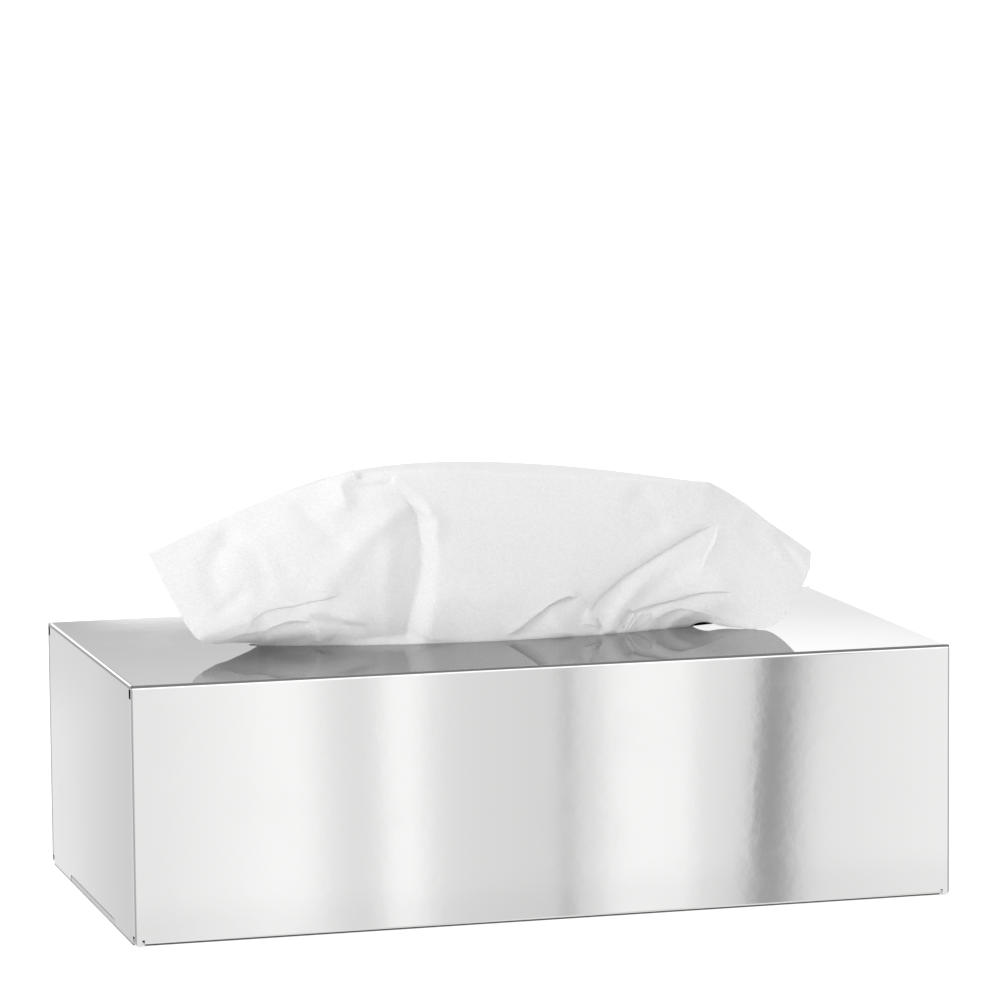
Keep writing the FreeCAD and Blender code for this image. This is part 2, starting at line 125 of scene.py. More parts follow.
class Tree:
    # a node tree with one method that adds any node
    def __init__(self, owner):
        owner.use_nodes = True
        self.nodes = owner.node_tree.nodes
        self.links = owner.node_tree.links
        self.nodes.clear()

    def add(self, kind, settings=None, inputs=None):
        node = self.nodes.new(kind)
        for name, value in (settings or {}).items():
            if name == "stops":
                self.setStops(node.color_ramp, value)
            else:
                setattr(node, name, value)
        pairs = inputs.items() if isinstance(inputs, dict) else enumerate(inputs or [])
        for key, value in pairs:
            socket = node.inputs[key]
            if isinstance(value, Sock):
                self.links.new(value.socket, socket)
            elif isinstance(value, bpy.types.NodeSocket):
                self.links.new(value, socket)
            else:
                socket.default_value = value
        return node

    def value(self, kind, settings=None, inputs=None, output=0):
        return Sock(self, self.add(kind, settings, inputs).outputs[output])

    def setStops(self, ramp, stops):
        while len(ramp.elements) > 1:
            ramp.elements.remove(ramp.elements[-1])
        for i, (place, shade) in enumerate(stops):
            element = ramp.elements[0] if i == 0 else ramp.elements.new(place)
            element.position = place
            element.color = grey(shade)

    def where(self, coordinates):
        # Object, UV or Generated coordinates
        return self.value("ShaderNodeTexCoord", None, None, coordinates)

    def parts(self, vector):
        node = self.add("ShaderNodeSeparateXYZ", None, [vector])
        return [Sock(self, output) for output in node.outputs]

    def noise(self, vector, scale, detail=2.0, roughness=0.5):
        return self.value("ShaderNodeTexNoise", None, {
            "Vector": vector, "Scale": scale, "Detail": detail, "Roughness": roughness})

    def stretchedNoise(self, vector, scales, detail=2.0, roughness=0.5):
        stretched = self.value("ShaderNodeMapping", None, {"Vector": vector, "Scale": scales})
        return self.noise(stretched, 1.0, detail, roughness)

    def ramp(self, value, stops):
        return self.value("ShaderNodeValToRGB", {"stops": stops}, [value], "Color")

    def blend(self, factor, first, second):
        return self.value("ShaderNodeMix", {"data_type": "RGBA"},
                          {0: factor, 6: first, 7: second}, 2)

    def bump(self, height, distance, normal=None):
        inputs = {"Height": height, "Distance": distance}
        if normal is not None:
            inputs["Normal"] = normal
        return self.value("ShaderNodeBump", None, inputs)

    def principled(self, inputs):
        self.surface(self.add("ShaderNodeBsdfPrincipled", None, inputs))

    def surface(self, shader):
        self.add("ShaderNodeOutputMaterial", None, {"Surface": shader.outputs[0]})


def newMaterial(name):
    material = bpy.data.materials.new(name)
    return material, Tree(material)


def giveMaterial(piece, material):
    piece.data.materials.clear()
    piece.data.materials.append(material)


def grey(level):
    return (level, level, level, 1)


def shaded(color, share=1.0):
    return (*[c * share for c in color], 1)


def newPiece(name, bm):
    # an object at the origin from a finished bmesh
    mesh = bpy.data.meshes.new(name)
    bm.to_mesh(mesh)
    bm.free()
    piece = bpy.data.objects.new(name, mesh)
    bpy.context.scene.collection.objects.link(piece)
    return piece


cameraSettings = {
    "place": (-0.432055, -1.599030, 0.333079),
    "turn": 0.266068,          # towards +X from +Y
    "tilt": 0.125266,          # down from level
    "lean": -0.0085856,        # round its own line of sight
    "lens": 185.84,
    "sensorWidth": 36.0,
    "near": 0.05,              # nothing nearer or farther than this is drawn
    "far": 50.0,
}


def makeCamera():
    s = cameraSettings
    data = bpy.data.cameras.new("studio_camera")
    data.lens = s["lens"]
    data.sensor_width = s["sensorWidth"]
    data.clip_start = s["near"]
    data.clip_end = s["far"]
    camera = bpy.data.objects.new("studio_camera", data)
    bpy.context.scene.collection.objects.link(camera)
    camera.matrix_world = (
        Matrix.Translation(s["place"])
        @ Matrix.Rotation(-s["turn"], 4, "Z")
        @ Matrix.Rotation(math.pi / 2 - s["tilt"], 4, "X")
        @ Matrix.Rotation(s["lean"], 4, "Z")
    )
    bpy.context.scene.camera = camera


makeCamera()
bpy.context.scene.view_settings.view_transform = "Standard"
print("camera placed")


coverSettings = {
    "color": (0.56, 0.56, 0.557),
    "edgeTint": 0.66,          # share of what it mirrors at a grazing angle
    "roughness": 0.022,
    "waveScale": 9.0,          # slow waves of the sheet
    "waveDepth": 0.05 * mm,
    "peelScale": 260.0,        # fine unevenness that polishing leaves
    "peelDepth": 0.0012 * mm,
    "smudgeScale": 34.0,
    "smudgeLimits": (0.52, 0.72),
    "smudgeDull": 0.012,       # roughness that smudges and polishing lines add
    "lineScales": (30.0, 30.0, 1400.0),
    "lineDull": 0.006,
    "smudgeShade": 0.965,
    "smudgeShare": 0.35,
    "seamReach": 0.7 * mm,     # painted shade where two walls meet: a darker line for the seam's shadowed gap
    "seamShadeShare": 0.6,
    "footShadeHeight": 0.8 * mm,      # and painted contact shadow where an end wall meets the table
    "footShadeShare": 0.95,
    "endWall": (-0.5 * mm, -0.4 * mm),   # of the end faces, measured outwards from them
    # tone of the painted shade, as a share of the steel's colour
    "paintedShadeTone": 0.2,
}


def polishedSteel():
    s = coverSettings
    material, tree = newMaterial("polished_steel")
    place = tree.where("Object")
    waves = tree.noise(place, s["waveScale"], 1.0)
    peel = tree.noise(place, s["peelScale"])
    smudges = tree.noise(place, s["smudgeScale"], 3.0).step(*s["smudgeLimits"])
    lines = tree.stretchedNoise(place, s["lineScales"])
    tone = tree.blend(smudges * s["smudgeShare"],
                      shaded(s["color"]), shaded(s["color"], s["smudgeShade"]))
    x, y, z = tree.parts(place)
    halfSize = (coverHigh - coverLow) / 2
    besideX, besideY = abs(x) - halfSize.x, abs(y) - halfSize.y
    corner = (besideX * besideX + besideY * besideY) ** 0.5
    # painted shade: a dark line along the corner seams for their shadowed gap, and a contact shadow
    # at the end walls' foot
    seamShade = corner.under(s["seamReach"])
    footShade = z.under(s["footShadeHeight"]) * besideX.step(*s["endWall"])
    paintedShade = (seamShade * s["seamShadeShare"]).most(footShade * s["footShadeShare"])
    tree.principled({
        "Base Color": tree.blend(paintedShade, tone, shaded(s["color"], s["paintedShadeTone"])),
        "Metallic": 1.0,
        "Roughness": s["roughness"] + smudges * s["smudgeDull"] + lines * s["lineDull"],
        "Specular Tint": grey(s["edgeTint"]),
        "Normal": tree.bump(peel, s["peelDepth"], tree.bump(waves, s["waveDepth"])),
    })
    return material


giveMaterial(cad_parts["cover"], polishedSteel())
print("cover finished")


traySettings = {
    "color": (0.58, 0.58, 0.57),
    "cloudColor": (0.52, 0.52, 0.515),
    "cloudScale": 22.0,
    "cloudLimits": (0.35, 0.7),
    "roughness": 0.34,
    "brushScales": (12.0, 2600.0, 900.0),     # brushed along X
    "brushDull": 0.10,
    "brushDepth": 0.006 * mm,
    # near-black of the tray's painted shade
    "paintedShade": 0.02,
    "footShadeHeight": 0.6 * mm,      # painted contact shadow where the tray meets the table
    "footShadeShare": 0.97,
    "notchHeight": 2.3 * mm,   # painted shade below this, where the tray's bend shows in the cover's notch under the wall's edge
    "notchFade": 1.0 * mm,
    "notchShadeShare": 0.5,
}


def satinSteel():
    s = traySettings
    material, tree = newMaterial("tray_steel")
    place = tree.where("Object")
    brushing = tree.stretchedNoise(place, s["brushScales"], 3.0, 0.6)
    clouds = tree.noise(place, s["cloudScale"], 3.0)
    tone = tree.blend(clouds.step(*s["cloudLimits"]), shaded(s["color"]), shaded(s["cloudColor"]))
    z = tree.parts(place)[2]
    # painted shade: a contact shadow at the foot, and shade over the low part that shows in the
    # cover's notch
    footShade = z.under(s["footShadeHeight"])
    notchShade = 1 - z.step(s["notchHeight"], s["notchHeight"] + s["notchFade"])
    paintedShade = (footShade * s["footShadeShare"]).most(notchShade * s["notchShadeShare"])
    tree.principled({
        "Base Color": tree.blend(paintedShade, tone, grey(s["paintedShade"])),
        "Metallic": 1.0,
        "Roughness": s["roughness"] + (brushing - 0.5) * s["brushDull"],
        "Normal": tree.bump(brushing, s["brushDepth"]),
    })
    return material


satin = satinSteel()
giveMaterial(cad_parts["base_tray"], satin)
print("tray finished")


# keys on the tray's ends, over which the cover's notches drop
keySettings = {
    "length": 73.2 * mm,
    "height": 2.05 * mm,
    "thickness": 1.08 * mm,
    "inset": 0.05 * mm,        # behind the end wall's face
    "corner": 0.9 * mm,
}


def makeNotchKeys():
    s = keySettings
    bm = bmesh.new()
    for side in (-1, 1):
        corners = bmesh.ops.create_cube(bm, size=1.0)["verts"]
        bmesh.ops.scale(bm, vec=(s["thickness"], s["length"], s["height"]), verts=corners)
        middle = coverHigh.x - s["inset"] - s["thickness"] / 2
        bmesh.ops.translate(bm, vec=(side * middle, 0, s["height"] / 2), verts=corners)
    topCorners = [edge for edge in bm.edges
                  if min(v.co.z for v in edge.verts) > s["height"] / 2
                  and abs(edge.verts[0].co.x - edge.verts[1].co.x) > s["thickness"] / 2]
    bmesh.ops.bevel(bm, geom=topCorners, offset=s["corner"], segments=4, profile=0.5,
                    affect="EDGES", material=-1)
    return newPiece("notch_keys", bm)


keys = makeNotchKeys()
# the tray's steel, whose painted shade low down darkens the keys too
giveMaterial(keys, satin)
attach(keys, "base")
print("notch keys set", len(keys.data.polygons))


# the drawn tissue; its gathers and folds are in mm, with heights over the cover's top
tissueSettings = {
    "flat": (0.225, 0.210),
    "thickness": 0.16 * mm,
    "acrossCells": 168,
    "flatCells": 5,            # rows of cells on the stack, round the turn and above the slot
    "turnCells": 12,
    "drawnCells": 100,
    "flatShare": 0.25,         # of the rows of poles that lie on the stack
    "fineReach": (1.3, 0.7),   # cells this near to a crisp fold are quartered, and again
    "crispEdge": 0.4,          # a fold is crisp where its sides turn over less than this
    "gatherDepth": 0.3,        # small waves where the slot holds the sheet
    "gatherMiddle": 0.35,      # share of that depth left half-way across
    "gatherCount": 8.5,
    "gatherSway": (2.0, 10),   # how much their width varies, and over how many of them
    "gatherRise": 9.0,         # over which they die away, above the top and below it
    "gatherDrop": 9.0,
    "foldRise": 1.6,           # over which the folds grow, from nothing in the slot
    "creaseShare": 0.906,      # of the rows of poles that lie before the crease
    "creaseFade": 0.02,        # share of the rows over which the folds end behind it
    "dyingAway": 1.5,          # power by which a fold falls off over its reach
    "smoothing": 1,
    "patternSteps": 60,
    "patternRow": 0.35,        # where the sheet is measured across, from -0.5 to 0.5
    "sharpFrom": 50.0,         # degrees between faces
}

slotSettings = {
    "length": 160 * mm,
    "width": 34 * mm,
    "plate": 0.8 * mm,         # the cover's sheet round the slot
    "clearance": 0.6 * mm,     # kept between the sheet and the slot's edge
    "guarded": 0.9 * mm,       # above and below the plate's middle
    "lift": 0.15 * mm,         # kept over the top beyond the slot
}

# the row of poles along the top crease, from left to right: x, y and height over the top
creaseRow = [
    (-113.2, -1.5, 31.2), (-96.6, 1.5, 37.5), (-74.2, 1.5, 47.1), (-47, -3.5, 54.9),
    (-22.6, -9, 56), (4.4, -9.5, 53.3), (30, -9.5, 51.1), (55.8, -9.5, 49.1), (71.7, -9, 47.7),
    (71.7, -9, 47.7), (80.9, -6.2, 43), (94.6, -5.5, 32.9), (106, -11.5, 17.6),
]

# poles of the sheet above the cover, from the slot to the free edge behind; a pole or a row that
# stands twice makes a crease
drawnRows = [
    [(-75.5, -0.6, -4.5), (-64.5, -5.2, -4.5), (-48, -10.3, -4.5), (-31, -13.9, -4.5),
     (-14, -15.8, -4.5), (3, -16.2, -4.5), (20, -15.1, -4.5), (36, -12.9, -4.5), (46, -10.8, -4.5),
     (51.5, -9.4, -4.5), (57, -7.9, -4.5), (61.5, -5.6, -4.5), (65.3, -3.7, -4.5)],
    [(-76.4, -0.6, -0.4), (-65, -5.3, -0.4), (-48, -10.2, -0.4), (-31, -13.8, -0.4),
     (-14, -15.7, -0.4), (3, -16.1, -0.4), (20, -15, -0.4), (36, -12.8, -0.4), (46, -10.7, -0.4),
     (51.5, -9.3, -0.4), (57, -7.8, -0.4), (61.8, -5.5, -0.4), (65.6, -3.6, -0.4)],
    [(-81, -2.8, 1.7), (-68.3, -10.2, 3.2), (-50, -12.5, 3), (-32, -15, 3), (-14.2, -16.6, 3),
     (3, -16.9, 3), (20.5, -15.9, 3), (37.5, -13.7, 3), (47.5, -11.8, 3), (53, -10.6, 3),
     (59.2, -10.5, 3.1), (65.3, -9.3, 2.5), (69, -6.4, 1.9)],
    [(-91, -13, 2.5), (-78.5, -18, 4.9), (-57.2, -16.2, 8), (-35.5, -16.2, 9), (-15, -17, 9),
     (3, -17.2, 9), (22, -16.2, 9), (41, -14.3, 8), (52, -13, 7), (57, -12.5, 6.4),
     (64.3, -13.5, 5.3), (71.6, -13, 3.5), (77, -13.5, 0.4)],
    [(-102.5, -21, 5.2), (-87.4, -19, 9.7), (-64, -14.5, 17), (-40, -15, 21), (-18, -15.8, 21.5),
     (3, -15.8, 20.8), (24.5, -15.3, 20), (46.5, -14.2, 17), (59.5, -14, 13.5), (64, -14, 12),
     (72.3, -14.2, 8.8), (81, -17.5, 5.4), (88, -22, -1.4)],
    [(-105.8, -16.6, 12.7), (-89.8, -12.5, 20.2), (-68.5, -9.8, 31), (-43.3, -11.8, 39),
     (-20.5, -13, 39.2), (3.2, -13.2, 37.4), (26.5, -13, 36), (50.3, -12.8, 33),
     (64.2, -12.8, 29.8), (67, -12.5, 28), (76.4, -12.2, 23.6), (87.9, -13.8, 14.3),
     (95.7, -21.5, 5.6)],
    [(-110, -9.8, 21.6), (-93.2, -6, 29.7), (-72, -4.5, 41.6), (-45.5, -7.8, 49),
     (-22.3, -10.8, 49.8), (3.8, -11.2, 47.2), (28.5, -11.2, 45.2), (53.5, -11.3, 42.8),
     (68.3, -11, 41.3), (70, -11, 40.5), (79.5, -9.5, 36), (91.5, -9.3, 25.3), (102.3, -14.5, 12)],
    creaseRow, creaseRow,
    [(-111.6, 2.8, 30.1), (-96, 7, 36.3), (-73.2, 10, 45.6), (-46, 10, 54), (-21.5, 6, 56.6),
     (5, 9, 55.8), (31, 9, 53), (57, 6, 49.2), (73, -3, 46.2), (73, -3, 46.2), (82.2, -2.2, 41.4),
     (96, -2, 32.2), (107, -9, 21)],
    [(-109.7, 8.5, 28.4), (-95.5, 14, 34.2), (-72, 22, 43.2), (-44.5, 28, 51.2), (-20, 30, 53.2),
     (6, 32, 52.2), (32, 31, 50), (57.5, 22, 46.9), (74, 3, 44.4), (74, 3, 44.4), (83, 1.5, 40),
     (97.2, 0.5, 31.3), (108, -7, 22.6)],
]

# rows of poles inside the box: y, height over the stack and half width
heldRows = [
    (40, 0.5, 112.5), (24, 0.5, 112.5), (5, 0.5, 112.5), (-14, 0.5, 112.5), (-32, 0.5, 112.5),
    (-43, 2, 112), (-42, 12.5, 105), (-31, 18.5, 86),
]

# each fold's course, in x and height; how far the sheet stands out on the left of the course and
# over what reach, at its start and, if that differs, at its end; the same on its right; how far
# the right is tucked under the left (the left under the right where negative); half the width over
# which one side turns into the other; and the lengths over which the fold grows from its start and
# dies away to its end
folds = [
    ([(-32.8, -3.5), (-32.4, 1.4), (-30.8, 10.6), (-28.3, 18.2), (-26.6, 25.4), (-26.2, 31.7),
      (-26.9, 39), (-28.8, 44.1), (-32, 47.9), (-36, 52.6)], (-3.4, 21, 8), (-5.2, 8, 4), 0, 0.7,
      (2, 18)),
    ([(-29.6, 46), (-26.6, 43.3), (-20.9, 40.1)], (0.8, 3), (0.8, 2.6), 0, 0.15, (1.5, 3)),
    ([(-44.8, 53.8), (-49.2, 51.6), (-50.4, 49.5), (-49.4, 45.5), (-47.6, 41.8)], (2, 4.5), (2, 8),
      0, 0.2, (0.3, 5)),
    ([(-44.9, 54), (-45, 50.6), (-43.6, 46.4), (-43.3, 42.6)], (-0.3, 6), (-0.3, 5), 0, 0.8,
      (5, 4)),
    ([(-45.6, 53.1), (-43.7, 51.1), (-39, 51.3), (-34.1, 52.3)], (1.1, 3), (-0.3, 5), 0, 0.6,
      (2, 3)),
    ([(-65.6, 17), (-59.2, 19.5), (-53.7, 23.6), (-48.1, 30), (-43.3, 34.9), (-37.9, 38.8),
      (-33.2, 42.1), (-28.8, 44.1)], (1.5, 12, 4), (1.5, 10, 3), 0, 0.8, (9, 0.8)),
    ([(-37.4, -3.4), (-38.1, 18), (-36.4, 36.8)], (1.2, 5), (1.2, 5), 0, 1.2, (3, 8)),
    ([(-83.4, 10.4), (-81.1, 10.9), (-79.4, 12.4), (-76.7, 13.2), (-73.4, 13.6), (-68.4, 14),
      (-63.4, 15), (-58.4, 15.7), (-52.8, 17)], (0.2, 7), (-0.5, 9), 1.1, 0.15, (2, 4)),
    ([(-101.3, 6.1), (-96.6, 7.1), (-93.4, 7.8), (-88.4, 9.1), (-85.1, 9.9),
      (-81.1, 10.8)], (1.2, 10), (1.2, 5), 0, 0.3, (1.5, 2)),
    ([(-68.8, 13.1), (-65.9, 11.8), (-63, 9.6), (-61.2, 6.9), (-58.5, 1.3)], (1.2, 5), (1.2, 2.8),
      0, 0.25, (7, 1.5)),
    ([(-92.4, 4.6), (-88.3, 6.1), (-86, 6.7), (-81.1, 6.4), (-78.1, 6.5), (-75.9, 7.7),
      (-73.3, 8.4), (-70.3, 9.1), (-67, 9), (-64, 8.4)], (0.5, 3), (-0.9, 5), 0.6, 0.15, (3, 1.5)),
    ([(-78.1, 6.5), (-76.4, 3.5), (-74.6, -0.7)], (0.6, 1.8), (0.6, 3.5), 0, 0.2, (0.6, 0.6)),
    ([(-63.9, 12.2), (-60.3, 10.4), (-55.4, 9.2), (-48.7, 7.5), (-43.1, 5.6)], (1, 8), (-1.4, 5), 0,
      0.8, (3, 6)),
    ([(-26.3, 1.2), (-23.9, 7.1), (-21.9, 11.2), (-19.9, 14.7), (-16.9, 15.5), (-9.3, 14.5),
      (0.6, 13.1), (10.7, 12.6)], (1.1, 8), (1.1, 13), 0, 0.9, (2, 14)),
    ([(0.9, 1.4), (2.9, 2.3), (5.5, 3.8), (8.9, 6.2), (12.3, 8.7), (15.7, 10.7), (19.1, 12.2),
      (21.9, 13), (24.9, 12.2)], (0.8, 10), (-1.2, 7), 1, 0.15, (3, 2)),
    ([(24.4, -0.7), (19.8, 3), (16.7, 8.4), (16.4, 11)], (1.2, 6), (1.2, 4.5), 0, 0.5, (1, 2)),
    ([(24.1, 0), (26, 4.6), (28.7, 9.7), (30.1, 12.2)], (-0.9, 6), (-0.9, 3), 0, 0.5, (1, 3)),
    ([(27.4, 3.8), (29.5, 3.3), (32, 2.5), (32.2, -1.2)], (0.2, 2), (-0.2, 4), 0.3, 0.15,
      (1.2, 0.8)),
    ([(33.5, -1.9), (33.3, 2.1), (31.8, 6.2)], (-1.6, 2), (-1.6, 1.4), 0, 0.2, (0.5, 2.5)),
    ([(36, -2.1), (37.2, 3.8), (40.4, 9.3), (46.6, 14.6), (55.3, 20), (64, 25.4)], (1.2, 2.6, 7),
      (1.2, 3, 7), 0, 0.5, (0.5, 24)),
    ([(40, -1.8), (42.4, 4.5), (44.7, 7)], (-1.6, 2.4), (-1.6, 1.2), 0, 0.2, (0.5, 1)),
    ([(42.5, -0.3), (45.3, 4.3), (47.6, 5.8), (50.4, 5.8), (50.9, 4.6), (49.4, 2.9),
      (44.6, 0.2)], (-0.1, 0.9), (0.28, 2.2), 0, 0.15, (2, 0.6)),
    ([(29.4, 7.3), (32.8, 11.7), (37.3, 15.1), (41.5, 18.2), (46.7, 21.1), (51.9, 23.9),
      (57.2, 26.7), (62.4, 29.4), (65.9, 31.1), (69.5, 32.4), (74.6, 33.7)], (-0.9, 3.4, 2.6),
      (-1.6, 14, 9), 1, 0.15, (1.2, 10)),
    ([(71.1, 4.9), (73.2, 13.3), (77.1, 22.1)], (3.2, 24), (3.2, 26), 0, 3, (7, 8)),
    ([(34.3, 4.7), (38.7, 10.4), (43.9, 15.7)], (-0.7, 5), (-0.7, 5), 0, 1, (2, 4)),
    ([(43.9, 8.4), (50.1, 12.4), (55.2, 16.4), (63.9, 21.2), (68.1, 23.9)], (-0.8, 6), (-0.8, 5.5),
      0, 1.2, (4, 5)),
    ([(66.9, 18.4), (68.8, 22.6), (70.6, 25.1), (72.5, 27.9), (73.7, 31), (73.5, 33.1)], (0.5, 0.9),
      (0.5, 3), 0, 0.15, (5, 1.2)),
    ([(44.4, 6.9), (50.2, 8.4), (55.3, 9.3), (60.4, 10.5), (63.7, 11.4), (67.1, 11.9), (72.1, 11.9),
      (77.7, 11.2)], (0.2, 7), (-1, 4), 1.2, 0.15, (1, 4)),
    ([(51.3, 4.5), (55.5, 7.1), (61.7, 9.8)], (0.3, 2.5), (0.3, 4), 0, 0.2, (1, 5)),
    ([(52.4, 4.1), (54.6, 5.4), (57.9, 6.4), (60.5, 6.9), (63.8, 6.4), (67.2, 5.6), (71.2, 4),
      (75.4, 2.4)], (0.5, 5), (-0.6, 6), 0.9, 0.2, (2, 4)),
    ([(-34.4, 52.9), (-31.1, 50.7), (-27.6, 47.5), (-23.6, 43.9), (-20.6, 39.4),
      (-19.8, 31.5)], (1.3, 4.5), (1.3, 5), 0, 0.39, (1.5, 8)),
]

# shallow dimples: course, depth and reach
dimples = [
    ([(-87.9, 35.1), (-90.6, 31.6), (-93.7, 27.5), (-93.8, 23.1), (-93, 19.9)], -1.5, 4.5),
    ([(-87.1, 36), (-83.7, 33.9), (-80, 31.4), (-78.1, 26.9), (-77.6, 20.2)], -1.1, 4),
    ([(-92.2, 13.6), (-89.3, 16.5), (-84.9, 18.7)], -1, 3.5),
    ([(-62.4, 43.3), (-59.4, 39.3), (-56, 36.1), (-53, 33.6)], -1.2, 5),
    ([(-74, 31.9), (-71.8, 28.8), (-70, 25.7)], -0.9, 4),
    ([(47.8, 44.5), (51.5, 39.5), (54, 34.6)], -0.9, 5),
    ([(44.2, 41.4), (45.2, 36), (48.8, 31.6)], -0.5, 4),
    ([(96.6, 27.3), (98.5, 23.5), (100.6, 20.2)], -0.8, 2.5),
    ([(85.1, 31.9), (88.8, 26.3), (92.6, 22.6)], -0.9, 4),
    ([(64.8, 43.1), (71.7, 40.8), (78.9, 37.4)], -0.5, 7),
]

crispCourses = [course for course, onLeft, onRight, lap, edge, ends in folds
                if edge < tissueSettings["crispEdge"]]


def splineWeights(count, t):
    # the first of the four poles that carry a clamped cubic spline at t, and their weights
    spans = count - 3
    place = min(t, 1 - 1e-9) * spans      # the end counts as part of the last span
    span = int(place)

    def knot(i):
        return min(max(i, 0), spans)

    weights = [1.0]
    for degree in (1, 2, 3):
        raised = [0.0] * (degree + 1)
        for i, weight in enumerate(weights):
            low = knot(span + i - degree + 1)
            high = knot(span + i + 1)
            share = (place - low) / (high - low)
            raised[i] += (1 - share) * weight
            raised[i + 1] += share * weight
        weights = raised
    return span, weights


def sheetPoles():
    slotX = [x for x, y, z in drawnRows[0]]
    shares = [2 * (x - slotX[0]) / (slotX[-1] - slotX[0]) - 1 for x in slotX]
    under = [
        [Vector((share * half * mm, y * mm, topOfStack + rise * mm)) for share in shares]
        for y, rise, half in heldRows
    ]
    over = [[Vector((x * mm, y * mm, topOfCover + z * mm)) for x, y, z in row] for row in drawnRows]
    return under + over


def alongPlace(share):
    # spreads the grid's rows: few on the stack, some round the turn, most above the slot
    s = tissueSettings
    slotShare = (len(heldRows) + 0.5) / (len(heldRows) + len(drawnRows))
    cell = share * (s["flatCells"] + s["turnCells"] + s["drawnCells"])
    if cell < s["flatCells"]:
        return s["flatShare"] * cell / s["flatCells"]
    cell -= s["flatCells"]
    if cell < s["turnCells"]:
        return s["flatShare"] + (slotShare - s["flatShare"]) * cell / s["turnCells"]
    return slotShare + (1 - slotShare) * (cell - s["turnCells"]) / s["drawnCells"]


def nearestOnCourse(x, z, course):
    # distance, side (positive on the left), lengths before and behind, the left-hand direction
    best, travelled = None, 0.0
    for (x0, z0), (x1, z1) in zip(course, course[1:]):
        dx, dz = x1 - x0, z1 - z0
        length = math.hypot(dx, dz)
        held = min(max(((x - x0) * dx + (z - z0) * dz) / length ** 2, 0.0), 1.0)
        gap = math.hypot(x - x0 - held * dx, z - z0 - held * dz)
        if best is None or gap < best[0]:
            side = (dx * (z - z0) - dz * (x - x0)) / length
            best = (gap, side, travelled + held * length, (-dz / length, dx / length))
        travelled += length
    gap, side, done, leftward = best
    return gap, side, done, travelled - done, leftward


def inReach(x, z, course, reach):
    xs = [p[0] for p in course]
    zs = [p[1] for p in course]
    return min(xs) - reach < x < max(xs) + reach and min(zs) - reach < z < max(zs) + reach


def fadeOut(share):
    return max(0.0, 1 - share) ** tissueSettings["dyingAway"]


def smoothRise(value):
    value = min(max(value, 0.0), 1.0)
    return value * value * (3 - 2 * value)


def foldMove(x, z, fold):
    # how a fold moves the sheet at a place: outwards, and sideways in x and z
    course, (leftDepth, *leftReach), (rightDepth, *rightReach), lap, edge, (start, end) = fold
    if not inReach(x, z, course, max(leftReach + rightReach)):
        return 0.0, 0.0, 0.0
    gap, side, done, left, (leftX, leftZ) = nearestOnCourse(x, z, course)
    share = done / (done + left)
    isLeft = smoothRise(0.5 + math.copysign(gap, side) / (2 * edge))
    rounded = math.hypot(gap, edge)
    onLeft = fadeOut(rounded / (leftReach[0] + (leftReach[-1] - leftReach[0]) * share))
    onRight = fadeOut(rounded / (rightReach[0] + (rightReach[-1] - rightReach[0]) * share))
    taper = smoothRise(done / start) * smoothRise(left / end)
    out = isLeft * leftDepth * onLeft + (1 - isLeft) * rightDepth * onRight
    over = lap * (1 - isLeft) * onRight if lap > 0 else lap * isLeft * onLeft
    return taper * out, taper * over * leftX, taper * over * leftZ


def dimpleMove(x, z, dimple):
    course, depth, reach = dimple
    if not inReach(x, z, course, reach):
        return 0.0
    return depth * smoothRise(1 - nearestOnCourse(x, z, course)[0] / reach)


def gatherOffset(across, height):
    s = tissueSettings
    sway, slowness = s["gatherSway"]
    fade = math.exp(-(height / (s["gatherRise"] if height > 0 else s["gatherDrop"])) ** 2)
    turns = 2 * math.pi * s["gatherCount"] * across
    wave = math.sin(turns + sway * math.sin(turns / slowness))
    share = s["gatherMiddle"] + (1 - s["gatherMiddle"]) * abs(2 * across - 1)
    return s["gatherDepth"] * share * fade * wave


def slotRoom(x):
    # from the slot's middle to its edge at x, less what the sheet is kept off it
    s = slotSettings
    radius = (s["length"] ** 2 / 4 + s["width"] ** 2 / 4) / s["width"]
    return math.sqrt(radius ** 2 - min(x, radius) ** 2) - radius + s["width"] / 2 - s["clearance"]


def clearOfCover(point):
    # keeps the sheet off the slot's edge where it passes it, and above the top beyond it
    s = slotSettings
    rise = point.z - topOfCover
    offPlate = rise + s["plate"] / 2
    if abs(offPlate) > s["guarded"] or abs(point.y) < slotRoom(abs(point.x)):
        return point
    if offPlate < 0:
        point.z = topOfCover - s["plate"] / 2 - s["guarded"]
    else:
        point.z = topOfCover + max(rise, s["lift"])
    return point


def foldedPlace(place, normal, across, along):
    # where a place of the smooth form goes once it is gathered and folded
    s = tissueSettings
    x, height = place.x / mm, (place.z - topOfCover) / mm
    out = gatherOffset(across, height)
    sideways = Vector()
    if height > 0:
        beforeCrease = smoothRise(1 - (along - s["creaseShare"]) / s["creaseFade"])
        grown = min(1.0, height / s["foldRise"]) * beforeCrease
        for fold in folds:
            foldOut, dx, dz = foldMove(x, height, fold)
            out += foldOut * grown
            sideways += Vector((dx, 0, dz)) * (grown * mm)
        out += sum(dimpleMove(x, height, dimple) for dimple in dimples) * beforeCrease
    return clearOfCover(place + sideways + normal * (out * mm))


def sheetPlace(poles, flatPlace):
    # where a place on the flat grid, from -0.5 to 0.5 both ways, lies on the smooth form
    row, rowWeights = splineWeights(len(poles), alongPlace(flatPlace.y + 0.5))
    column, columnWeights = splineWeights(len(poles[0]), flatPlace.x + 0.5)
    place = Vector()
    for j, rowWeight in enumerate(rowWeights):
        for i, columnWeight in enumerate(columnWeights):
            place += poles[row + j][column + i] * (rowWeight * columnWeight)
    return place


